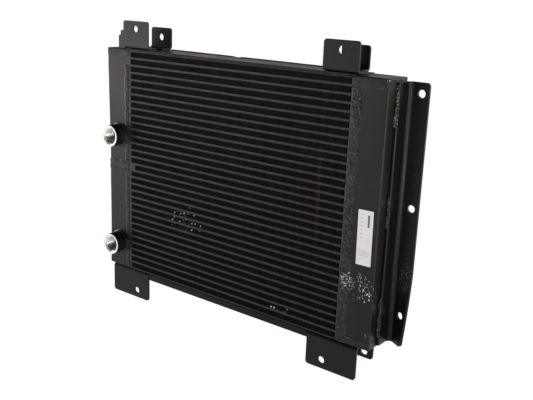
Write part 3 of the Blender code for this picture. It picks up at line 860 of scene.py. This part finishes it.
def turned_port(node):
    """A turned boss with a helical thread in its bore. Its mouth and bore are bare metal."""
    lo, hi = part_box(node)
    center = (lo + hi) / 2
    outer_r = (hi.x - lo.x) / 2
    face_y = lo.y
    base_y = hi.y
    around = 96
    edge = 1.4 * MM
    outside = [(base_y, outer_r), (face_y + edge, outer_r),
               (face_y + 0.3 * edge, outer_r - 0.3 * edge), (face_y, outer_r - edge)]
    mouth = [(face_y, PORT_MOUTH_R + 0.4 * MM), (face_y + 0.3 * MM, PORT_MOUTH_R),
             (face_y + PORT_MOUTH_DEPTH, PORT_BORE_R + THREAD_DEPTH)]
    thread_start = face_y + PORT_MOUTH_DEPTH + 0.4 * MM
    thread_end = base_y - 1 * MM
    count = int((thread_end - thread_start) / (THREAD_PITCH / 6))
    bore = [thread_start + (thread_end - thread_start) * i / count for i in range(count + 1)]
    bm = bmesh.new()
    rings = []
    for i in range(around):
        turn = i / around
        angle = 2 * math.pi * turn
        ring = outside + mouth
        for y in bore:
            phase = ((y - face_y) / THREAD_PITCH - turn) % 1
            ridge = abs(2 * phase - 1)
            fade = min(1, (thread_end - y) / THREAD_PITCH)
            ring.append((y, PORT_BORE_R + THREAD_DEPTH * ridge * fade))
        ring.append((base_y, PORT_BORE_R))
        rings.append([
            bm.verts.new((center.x + r * math.cos(angle), y, center.z + r * math.sin(angle)))
            for y, r in ring
        ])
    bare_start = len(outside) - 2
    bore_start = len(outside) + len(mouth) - 1
    for near, far in zip(rings, rings[1:] + rings[:1]):
        faces = bridge(bm, near, far)
        for face in faces[bare_start:-1]:
            face.material_index = 1
        for face in faces[bore_start:-1]:
            face.material_index = 2
    return bm, center, outer_r


def make_ports():
    for node in ("upper_port_boss", "lower_port_boss"):
        bm, center, outer_r = turned_port(node)
        name = node.replace("_boss", "")
        piece(name + "_turned", bm, "bracket metal bore", node, weighted=False, smooth=32)
        path = []
        count = 150
        for i in range(count):
            angle = 2 * math.pi * i / count
            radial = Vector((math.cos(angle), 0, math.sin(angle)))
            point = Vector((center.x, FRONT_Y, center.z)) + radial * (outer_r + 0.6 * MM)
            normal = (radial + Vector((0, -1, 0))).normalized()
            path.append((point, normal))
        bead(name + "_fillet_weld", path, 7.6 * MM, 2.9 * MM, closed=True, seed=center.z * 10)


# ---- weld beads

def bead(name, path, width, height, ripple=2.4 * MM, closed=False, seed=0, rough=0.14,
         scale_depth=0.14, mottle=0, bowed=False, material="weld"):
    """A weld bead along a path of (point, outward normal), with fish-scale ripples."""
    count = len(path)
    across = max(9, 2 * int(width / (2.6 * MM)) + 1)
    flatness = 0.5 if width < 10 * MM else 0.3
    lump = 2.4 * MM
    sink = 0.5 * MM
    bm = bmesh.new()
    rings = []
    travelled = 0
    for i, (point, normal) in enumerate(path):
        before = path[i - 1][0] if i or closed else point
        after = path[(i + 1) % count][0] if i < count - 1 or closed else point
        tangent = (after - before).normalized()
        side = normal.cross(tangent).normalized()
        if i:
            travelled += (point - path[i - 1][0]).length
        taper = 1
        if not closed:
            room = min(i, count - 1 - i) / max(1, count * 0.5)
            taper = min(1, 0.35 + room * max(4, count * 0.06))
        drift = noise.noise(Vector((travelled / (9 * MM) + seed, seed, 0.5)))
        swell = taper * (1 + rough * drift)
        ring = []
        for j in range(across):
            v = 2 * j / (across - 1) - 1
            dome = max(0, 1 - v * v) ** flatness
            phase = ((travelled - 0.45 * width * v * v) / ripple) % 1
            scale = 1 - scale_depth * (1 - phase) ** 1.5
            grain = noise.noise(Vector((travelled / (1.3 * MM), v * 3, seed)))
            lift = height * swell * dome * scale * (1 + 0.5 * rough * grain)
            spot = Vector((travelled / lump, v * width / 2 / lump, seed + 7))
            lift += mottle * noise.noise(spot) * min(1, 2 * dome) * taper
            offset = side * (v * width / 2 * swell) + normal * max(lift, -sink / 2)
            ring.append(bm.verts.new(point + offset))
        ring.append(bm.verts.new(point + side * (width * 0.4 * swell) - normal * sink))
        ring.append(bm.verts.new(point - side * (width * 0.4 * swell) - normal * sink))
        rings.append(ring)
    pairs = list(zip(rings, rings[1:]))
    if closed:
        pairs.append((rings[-1], rings[0]))
    for near, far in pairs:
        bridge(bm, near, far)
    if not closed:
        bm.faces.new(rings[0])
        bm.faces.new(rings[-1])
    if bowed:
        bow_left(bm)
    piece(name, bm, material, weighted=False, smooth=70)


def line_path(start, end, normal, step=0.7 * MM, wobble=0.25 * MM, seed=0):
    length = (end - start).length
    count = max(8, int(length / step))
    side = normal.cross((end - start).normalized())
    path = []
    for i in range(count + 1):
        share = i / count
        drift = noise.noise(Vector((share * length / (14 * MM) + seed, seed * 2, 0)))
        path.append((start.lerp(end, share) + side * (drift * wobble), normal))
    return path


def ring_path(lo, hi, outer_low, z, step=0.8 * MM):
    """Round a tank's three outer sides at one height, with outward normals."""
    outline = tank_outline(lo, hi, outer_low, 0, 14)
    points = [Vector((x, y, z)) for x, y in outline]
    path = []
    inside = Vector(((lo.x + hi.x) / 2, (lo.y + hi.y) / 2, z))
    for a, b in zip(points, points[1:]):
        count = max(1, int((b - a).length / step))
        direction = (b - a).normalized()
        normal = Vector((direction.y, -direction.x, 0))
        if normal.dot((a + b) / 2 - inside) < 0:
            normal = -normal
        for i in range(count):
            path.append((a.lerp(b, i / count), normal))
    path.append((points[-1], path[-1][1]))
    return path


def make_seam_welds():
    """The welds between tanks and core, broad and dressed on the front, plainer elsewhere."""
    low, high = BOTTOM_Z + 1.5 * MM, LEFT_TANK[1].z - 1.5 * MM
    seams = (("left", -12, 451, 12.5, 0.9, 0.45, 0.2, 1.1),
             ("right", 554, 464, 21, 0.7, 0.3, 0.3, 0.6))
    for side, x, top, width, height, rough, scales, mottle in seams:
        seed = x / 10
        path = line_path(core(x, 0, 8), core(x, 0, top), FRONT, wobble=0.9 * MM, seed=seed)
        bead(side + "_tank_front_seam_weld", path, width * MM, height * MM, ripple=3 * MM,
             seed=seed, rough=rough, scale_depth=scales, mottle=mottle * MM,
             material="weld" if side == "left" else "band")
        edge = CORE_LEFT if side == "left" else CORE_RIGHT
        bead(side + "_tank_back_seam_weld",
             line_path(Vector((edge, BACK_Y, low)), Vector((edge, BACK_Y, high)), BACK,
                       seed=seed),
             9 * MM, 1.1 * MM, seed=seed + 3, rough=0.3)
        for face, z, normal in (("top", LEFT_TANK[1].z, UP), ("bottom", BOTTOM_Z, -UP)):
            bead("%s_tank_%s_seam_weld" % (side, face),
                 line_path(Vector((edge, FRONT_Y + MM, z)),
                           Vector((edge, BACK_Y - MM, z)), normal, seed=seed + 5),
                 6 * MM, 0.9 * MM, seed=seed + z)
    for side, outer_low in (("left", True), ("right", False)):
        lo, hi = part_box("left_tank_upper_shell" if outer_low else "right_tank_shell")
        for end in ("top", "bottom"):
            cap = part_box("%s_tank_%s_cap" % (side, end))
            z = cap[0].z if end == "top" else cap[1].z
            bead("%s_%s_cap_weld" % (side, end), ring_path(lo, hi, outer_low, z),
                 10 * MM, 0.75 * MM, seed=z * 5 + hi.x, rough=0.3, mottle=0.35 * MM,
                 bowed=outer_low)
    lo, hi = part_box("left_tank_upper_shell")
    for name, z in (("upper", DIVIDER[1].z + 3 * MM), ("lower", DIVIDER[0].z - 3 * MM)):
        bead("divider_%s_weld" % name, ring_path(lo, hi, True, z), 8.5 * MM, 1.8 * MM,
             seed=z * 7, rough=0.3, mottle=0.5 * MM, bowed=True)


STITCH_LINE = (616, 26)
STITCHES = ((400, 473), (224, 282), (18, 94))


def make_angle_welds():
    """Stitch welds along the front edge of the side angle's foot."""
    normal = Vector((0.75, -0.65, 0)).normalized()
    for number, (low, high) in enumerate(STITCHES, 1):
        ends = [core(*STITCH_LINE, z) for z in (low, high)]
        bead("angle_stitch_weld_%d" % number,
             line_path(*ends, normal, 0.45 * MM, wobble=1.6 * MM, seed=low),
             6.4 * MM, 3 * MM, ripple=4.2 * MM, seed=low, rough=0.5, scale_depth=0.6,
             mottle=1.6 * MM, material="stitch")


# ---- bent plates

def flat_plate(outline, holes, thickness, edge=0.6 * MM):
    """A plate in the (u, s) plane with round holes, from n = 0 to n = thickness."""
    bm = bmesh.new()
    edges = []
    loops = [outline] + [circle(*hole) for hole in holes]
    for loop in loops:
        edges += loop_edges(bm, [bm.verts.new((u, s, 0)) for u, s in loop])
    bmesh.ops.triangle_fill(bm, edges=edges, use_beauty=True)
    result = bmesh.ops.extrude_face_region(bm, geom=bm.faces[:])
    for vert in result["geom"]:
        if isinstance(vert, bmesh.types.BMVert):
            vert.co.z = thickness
    bevel_edges(bm, sharp_edges(bm, 60), edge)
    return bm


def fold(bm, radius, arc_length):
    """Bend at s = 0: s > 0 becomes the leg, s < -arc_length the foot. Returns (u, a, b)."""
    for vert in bm.verts:
        u, s, n = vert.co
        if s >= 0:
            a, b = n, radius + s
        elif s <= -arc_length:
            a, b = radius - arc_length - s, n
        else:
            angle = math.pi / 2 * (-s / arc_length)
            a = radius - (radius - n) * math.cos(angle)
            b = radius - (radius - n) * math.sin(angle)
        vert.co = (u, a, b)


def rounded_end(u0, u1, s0, s1, corner):
    """A rectangle with its two corners at s1 rounded."""
    return ([(u0, s0), (u1, s0)]
            + arc((u1 - corner, s1 - corner), corner, 0, 90, 7)
            + arc((u0 + corner, s1 - corner), corner, 90, 180, 7))


def round_toe(bm, end, thickness, radius):
    """Round off the foot's end on the side that faces away from the work."""
    slice_mesh(bm, 1, [end + radius * share for share in (0.08, 0.2, 0.36, 0.56, 0.78, 1)])
    for vert in bm.verts:
        reach = vert.co.y - end
        if reach < radius:
            drop = radius - math.sqrt(max(0, radius * radius - (radius - reach) ** 2))
            vert.co.z = min(vert.co.z, thickness - drop)


def bent_plate(u0, u1, foot, leg, thickness, radius, corner, holes, toe=0):
    """Flat blank with holes at (u, height above the sole, radius), bent through a right angle."""
    arc_length = radius * 1.25
    blank = rounded_end(u0, u1, radius - foot - arc_length, leg - radius, corner)
    bm = flat_plate(blank, [(u, height - radius, r) for u, height, r in holes], thickness)
    if toe > 0:
        round_toe(bm, radius - foot - arc_length, thickness, toe)
    slice_mesh(bm, 1, [-arc_length * i / 10 for i in range(11)])
    fold(bm, radius, arc_length)
    return bm


BRACKET_PLATE = 4 * MM
BRACKET_BEND = 8 * MM
BRACKET_CORNER = 6 * MM
BOLT_R = 7 * MM
BRACKET_HOLES = {     # in millimetres from the bracket's left end and from its sole
    "front_top_left": (36, 41.1),
    "front_top_right": (36.6, 37.7),
    "front_bottom_left": (74.4, 48.1),
    "front_bottom_right": (35.2, 49.5),
    "rear_top_left": (28.5, 25),
    "rear_top_right": (29, 24.9),
    "rear_bottom_left": (18.7, 33.9),
    "rear_bottom_right": (18.8, 33.9),
}


def make_brackets():
    for corner, (across, height) in BRACKET_HOLES.items():
        node = corner + "_bracket"
        lo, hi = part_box(node)
        front, up = "front" in corner, "top" in corner
        bm = bent_plate(lo.x, hi.x, hi.y - lo.y, hi.z - lo.z, BRACKET_PLATE, BRACKET_BEND,
                        BRACKET_CORNER, [(lo.x + across * MM, height * MM, BOLT_R)])
        for vert in bm.verts:
            u, a, b = vert.co
            y = lo.y + a if front else hi.y - a
            z = lo.z + b if up else hi.z - b
            vert.co = (u, y, z)
        look = "dusty_bracket" if corner == "front_top_left" else "bracket"
        piece(node + "_plate", bm, look, node)


ANGLE_BACK = 65                      # the leg's rear face, from the core's front
ANGLE_PLATE = 5 * MM
ANGLE_BEND = 14 * MM
ANGLE_TOE = 3 * MM
ANGLE_HOLES = (55.5, 255.5, 455.5)
ANGLE_HOLE_OUT = 27.7                # from the foot's back to the holes' centres
ANGLE_LEG = 41.7 * MM
KNOCK_HEIGHT = 133.5 * MM
KNOCK_ANGLE = math.radians(30.5)


def make_side_angle():
    """The leg's lower end was knocked forward, more and more towards the bottom."""
    lo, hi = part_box("side_mounting_angle")
    back_y = core(0, ANGLE_BACK, 0).y
    holes = [(lo.z + z * MM, ANGLE_HOLE_OUT * MM, BOLT_R) for z in ANGLE_HOLES]
    bm = bent_plate(lo.z, hi.z, back_y - lo.y, ANGLE_LEG, ANGLE_PLATE, ANGLE_BEND, 6 * MM,
                    holes, ANGLE_TOE)
    slice_mesh(bm, 0, [lo.z + KNOCK_HEIGHT * i / 12 for i in range(1, 13)])
    hinge = Vector((lo.x + ANGLE_BEND, back_y - ANGLE_PLATE / 2, 0))
    for vert in bm.verts:
        u, a, b = vert.co
        vert.co = (lo.x + b, back_y - a, u)
        if vert.co.x > hinge.x + 1e-6 and u < lo.z + KNOCK_HEIGHT:
            share = 1 - (u - lo.z) / KNOCK_HEIGHT
            arm = vert.co - hinge
            arm.z = 0
            vert.co += Matrix.Rotation(-KNOCK_ANGLE * share, 3, "Z") @ arm - arm
    piece("side_angle_plate", bm, "angle", "side_mounting_angle")


def make_backing_plate():
    lo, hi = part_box("top_left_backing_plate")
    r = 3 * MM
    low_top = lo.z + 28.1 * MM
    step = lo.x + 6 * MM
    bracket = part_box("front_top_left_bracket")[0]
    bracket_x = bracket.x - 2 * GAP
    clear_z = bracket.z + BRACKET_BEND + GAP
    outline = [(lo.x, lo.z)] + arc((lo.x + r, low_top - r), r, 180, 90, 5)
    outline += [(step, low_top)] + arc((step + r, hi.z - r), r, 180, 90, 5)
    outline += [(hi.x, hi.z), (hi.x, clear_z), (bracket_x, clear_z), (bracket_x, lo.z)]
    bm = extrude(outline, along_y, lo.y, hi.y)
    bevel_edges(bm, sharp_edges(bm, 60), 0.5 * MM)
    piece("backing_plate_stepped", bm, "dusty_bracket",
          "top_left_backing_plate")


# ---- label

LABEL_SIZE = (30 * MM, 100 * MM, 0.4 * MM)
LABEL_CORNER = 1.6 * MM
LABEL_TILT = math.radians(-0.9)
INK_RELIEF = 0.02 * MM


def make_label():
    """Blank white film with rounded corners and a few plain ruled bars."""
    lo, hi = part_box("data_label")
    center = (lo + hi) / 2
    width, height, thickness = LABEL_SIZE
    turn = Matrix.Rotation(LABEL_TILT, 3, "Y")
    r = LABEL_CORNER

    def place(u, v, depth):
        return center + turn @ Vector((u, depth, v))

    outline = []
    for sx, sz, start in ((-1, -1, 180), (1, -1, 270), (1, 1, 0), (-1, 1, 90)):
        corner = (sx * (width / 2 - r), sz * (height / 2 - r))
        outline += arc(corner, r, start, start + 90, 4)
    bm = extrude(outline, place, -thickness / 2, thickness / 2)
    piece("label_film", bm, "label", "data_label")
    lines = [(-9, -5.2, 41 - 7 * i, 43 - 7 * i) for i in range(7)]
    ticks = [(-10.5 + 2.4 * i, -9.6 + 2.4 * i, -34, -22) for i in range(9)]
    for key, bars in (("ink", [(4.5, 8.5, 20, 42)]), ("pale_ink", lines + ticks)):
        bm = bmesh.new()
        for x0, x1, z0, z1 in bars:
            outline = [(x * MM, z * MM) for x, z in ((x0, z0), (x1, z0), (x1, z1), (x0, z1))]
            extrude(outline, place, -thickness / 2 - INK_RELIEF, 0, bm)
        piece("label_" + key, bm, key, smooth=38)


# ---- stage, lights, camera

CAMERA_PLACE = (1217.88, -1115.75, 614.27)
CAMERA_ROWS = ((0.7897, 0.6122, 0.0399), (-0.1922, 0.1851, 0.9637), (0.5826, -0.7688, 0.2638))
FOCAL_LENGTH = 51.876


def make_camera():
    data = bpy.data.cameras.new("camera")
    data.lens = FOCAL_LENGTH
    data.sensor_width = 36
    camera = new_object("camera", data)
    camera.location = core(*CAMERA_PLACE)
    camera.rotation_euler = Matrix(CAMERA_ROWS).transposed().to_euler()
    bpy.context.scene.camera = camera


FLOOR_COLOR = (1, 0.955, 0.96)
FLOOR_GLOW = 1.06
# Spots where the floor itself glows brighter and lights the object from below like lamps: x, y
# and radius in metres, and strength
FLOOR_LIGHT = (
    (-0.7, -0.85, 0.8, 0.9),
    (-2, -0.6, 1, 2.1),
    (1.2, -0.4, 0.8, 0.9),
    (-3, -3.5, 1.6, 16.7),
    (1.6, -1.6, 1, 15.3),
)


def make_floor():
    bm = bmesh.new()
    bmesh.ops.create_grid(bm, x_segments=2, y_segments=2, size=14)
    floor = new_object("studio_floor", finish_mesh("studio_floor", bm))
    floor.location.z = CAD_BOX[0].z - 0.5 * MM
    shader = Shader("studio_floor_white", (0, 0, 0), 0.9, specular=0)
    shader.inputs["Emission Color"].default_value = (*FLOOR_COLOR, 1)
    glow = FLOOR_GLOW
    # Glowing spots painted into the floor's emission.
    for x, y, radius, strength in FLOOR_LIGHT:
        spot = shader.blob((x, y, 0), (radius, radius, 1), 0.2)
        glow = shader.math("ADD", shader.math("MULTIPLY", spot, strength), glow)
    shader.link(glow, shader.inputs["Emission Strength"])
    floor.data.materials.append(shader.material)


LIGHT_COLOR = (1, 0.925, 0.9)
LIGHT_AIM = Vector((0, 0, 0.3))
LIGHTS = (       # place and size in metres, and power in watts
    ("left_low_softbox", (-3.98, -0.35, 0.55), (1.5, 1.1), 47.7),
    ("left_high_softbox", (-3.98, -0.35, 1.9), (1.5, 1.1), 82.5),
    ("side_low_softbox", (-3.53, -1.88, 0.55), (1.5, 1.1), 10.3),
    ("front_left_high_softbox", (-2.57, -3.06, 1.9), (1.5, 1.1), 5.4),
    ("right_low_softbox", (3.6, -0.8, 0.5), (1.5, 0.8), 29.6),
    ("back_right_softbox", (2.6, 2.6, 1.4), (2.2, 1.8), 67.7),
    ("back_wall", (0, 4, 1.6), (9, 3.2), 37.4),
    ("back_left_wall", (-4, 2.2, 1.6), (4, 3.2), 6.1),
    ("camera_softbox", (2.3, -2.8, 0.9), (0.6, 0.8), 2.3),
)


def make_lights():
    for name, place, size, power in LIGHTS:
        data = bpy.data.lights.new(name, "AREA")
        data.shape = "RECTANGLE"
        data.size, data.size_y = size
        data.energy = power
        data.color = LIGHT_COLOR
        light = new_object(name, data)
        light.location = place
        direction = LIGHT_AIM - Vector(place)
        light.rotation_euler = direction.to_track_quat("-Z", "Y").to_euler()


def make_world():
    """White where the camera sees it, and dark to every other ray, so it lights nothing."""
    world = bpy.data.worlds.new("studio")
    world.use_nodes = True
    nodes, links = world.node_tree.nodes, world.node_tree.links
    dark = nodes["Background"]
    white = nodes.new("ShaderNodeBackground")
    for background, value, strength in ((dark, 0, 1), (white, 1, 1.1)):
        background.inputs["Color"].default_value = (value, value, value, 1)
        background.inputs["Strength"].default_value = strength
    mix = nodes.new("ShaderNodeMixShader")
    links.new(nodes.new("ShaderNodeLightPath").outputs["Is Camera Ray"], mix.inputs[0])
    links.new(dark.outputs[0], mix.inputs[1])
    links.new(white.outputs[0], mix.inputs[2])
    links.new(mix.outputs[0], nodes["World Output"].inputs["Surface"])
    bpy.context.scene.world = world


def make_studio():
    make_floor()
    make_world()
    make_lights()
    view = bpy.context.scene.view_settings
    view.view_transform = "Standard"
    view.look = "None"


make_camera()
make_fins()
make_bent_fins()
make_passages()
make_side_plates()
make_tanks()
make_ports()
make_seam_welds()
make_angle_welds()
make_brackets()
make_side_angle()
make_backing_plate()
make_label()
make_studio()
